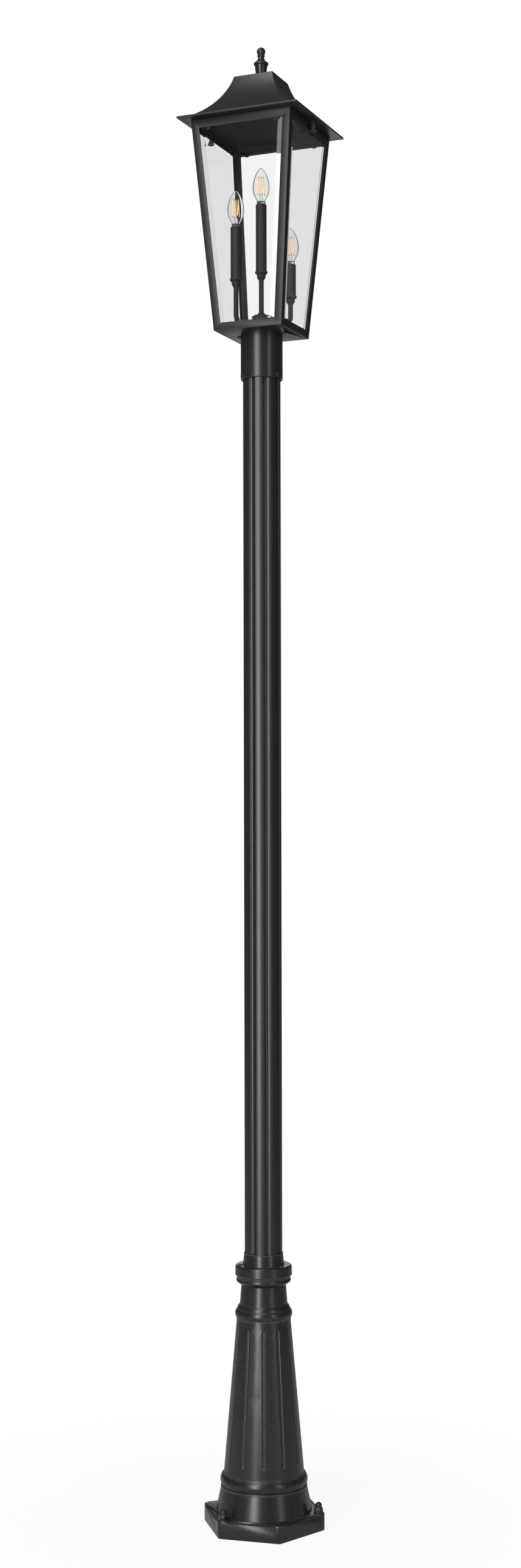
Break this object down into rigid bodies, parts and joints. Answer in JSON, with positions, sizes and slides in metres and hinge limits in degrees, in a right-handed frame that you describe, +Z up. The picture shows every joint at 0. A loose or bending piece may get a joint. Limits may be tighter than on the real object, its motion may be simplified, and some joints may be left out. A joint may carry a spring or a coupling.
{
  "type": "post lantern",
  "caption": "Tall outdoor lamp post: fluted round post on a cast base, with a tapered square glass lantern that holds candle lights under a pagoda roof.",
  "frame": {"origin": "centre of the foot's underside, on the ground", "axes": "+Z up the post; -Y is the lantern's front, +X its right, and the thumb screws lie on X"},
  "size_m": [0.2594, 0.2594, 3.0033],
  "materials": {
    "black_cast": "black fine-texture powder coat on cast and drawn aluminium",
    "black_hardware": "black coated steel, satin",
    "zinc_steel": "zinc plated",
    "bevelled_glass": "clear, bevelled edges",
    "matte_sleeve": "matte black",
    "socket_body": "phenolic",
    "nickel_cap": "nickel plated",
    "bulb_glass": "clear",
    "bulb_mount_glass": "clear",
    "amber_filament": "amber coated"
  },
  "bodies": {
    "post": {"foot_plate": "black_cast", "anchor_washers": "black_hardware", "acorn_nuts": "black_hardware", "base_column": "black_cast", "post_collar": "black_cast", "collar_screws": "black_hardware", "post_tube": "black_cast"},
    "lantern": {"fitter_sleeve": "black_cast", "clamp_screws": "black_hardware", "base_plate": "black_cast", "corner_posts": "black_cast", "bottom_rails": "black_cast", "top_rails": "black_cast", "corner_blocks": "black_cast", "glass_front": "bevelled_glass", "glass_right": "bevelled_glass", "glass_back": "bevelled_glass", "glass_left": "bevelled_glass", "glass_clips": "black_hardware", "candle_strap": "black_cast", "strap_screws": "black_hardware", "nipple": "zinc_steel", "nipple_nuts": "zinc_steel", "hub_body": "black_cast", "hub_cover": "black_cast", "hub_coupling": "black_cast", "arm_center": "black_hardware", "cup_center": "black_hardware", "sleeve_center": "matte_sleeve", "socket_center": "socket_body", "arm_left": "black_hardware", "cup_left": "black_hardware", "sleeve_left": "matte_sleeve", "socket_left": "socket_body", "arm_right": "black_hardware", "cup_right": "black_hardware", "sleeve_right": "matte_sleeve", "socket_right": "socket_body"},
    "roof": {"roof_plate": "black_cast", "roof_inserts": "zinc_steel", "roof_dome": "black_cast", "roof_cap": "black_cast", "ceiling_plate": "black_cast", "ceiling_rivets": "black_hardware", "finial_nut": "zinc_steel"},
    "finial": {"finial": "black_cast"},
    "thumb_screw_left": {"thumb_screw_left": "black_hardware"},
    "thumb_screw_right": {"thumb_screw_right": "black_hardware"},
    "bulb_center": {"bulb_cap_center": "nickel_cap", "bulb_glass_center": "bulb_glass", "bulb_mount_center": "bulb_mount_glass", "bulb_filaments_center": "amber_filament"},
    "bulb_left": {"bulb_cap_left": "nickel_cap", "bulb_glass_left": "bulb_glass", "bulb_mount_left": "bulb_mount_glass", "bulb_filaments_left": "amber_filament"},
    "bulb_right": {"bulb_cap_right": "nickel_cap", "bulb_glass_right": "bulb_glass", "bulb_mount_right": "bulb_mount_glass", "bulb_filaments_right": "amber_filament"}
  },
  "joints": [
    {"name": "lantern_swivel", "type": "hinge", "parent": "post", "child": "lantern", "pos_m": [0, 0, 2.36], "axis": [0, 0, 1], "continuous": true},
    {"name": "roof_lift", "type": "slide", "parent": "lantern", "child": "roof", "axis": [0, 0, 1], "range_m": [0, 0.15]},
    {"name": "finial_turn", "type": "hinge", "parent": "roof", "child": "finial", "pos_m": [0, 0, 2.94], "axis": [0, 0, 1], "continuous": true},
    {"name": "thumb_screw_left_turn", "type": "hinge", "parent": "lantern", "child": "thumb_screw_left", "pos_m": [-0.114, 0, 2.83], "axis": [0, 0, 1], "continuous": true},
    {"name": "thumb_screw_right_turn", "type": "hinge", "parent": "lantern", "child": "thumb_screw_right", "pos_m": [0.114, 0, 2.83], "axis": [0, 0, 1], "continuous": true},
    {"name": "bulb_center_unscrew", "type": "hinge", "parent": "lantern", "child": "bulb_center", "pos_m": [0, 0, 2.683], "axis": [0, 0, 1], "range_deg": [0, 1080]},
    {"name": "bulb_left_unscrew", "type": "hinge", "parent": "lantern", "child": "bulb_left", "pos_m": [-0.04361, -0.02832, 2.6348], "axis": [0, 0, 1], "range_deg": [0, 1080]},
    {"name": "bulb_right_unscrew", "type": "hinge", "parent": "lantern", "child": "bulb_right", "pos_m": [0.04822, 0.03132, 2.5637], "axis": [0, 0, 1], "range_deg": [0, 1080]}
  ]
}
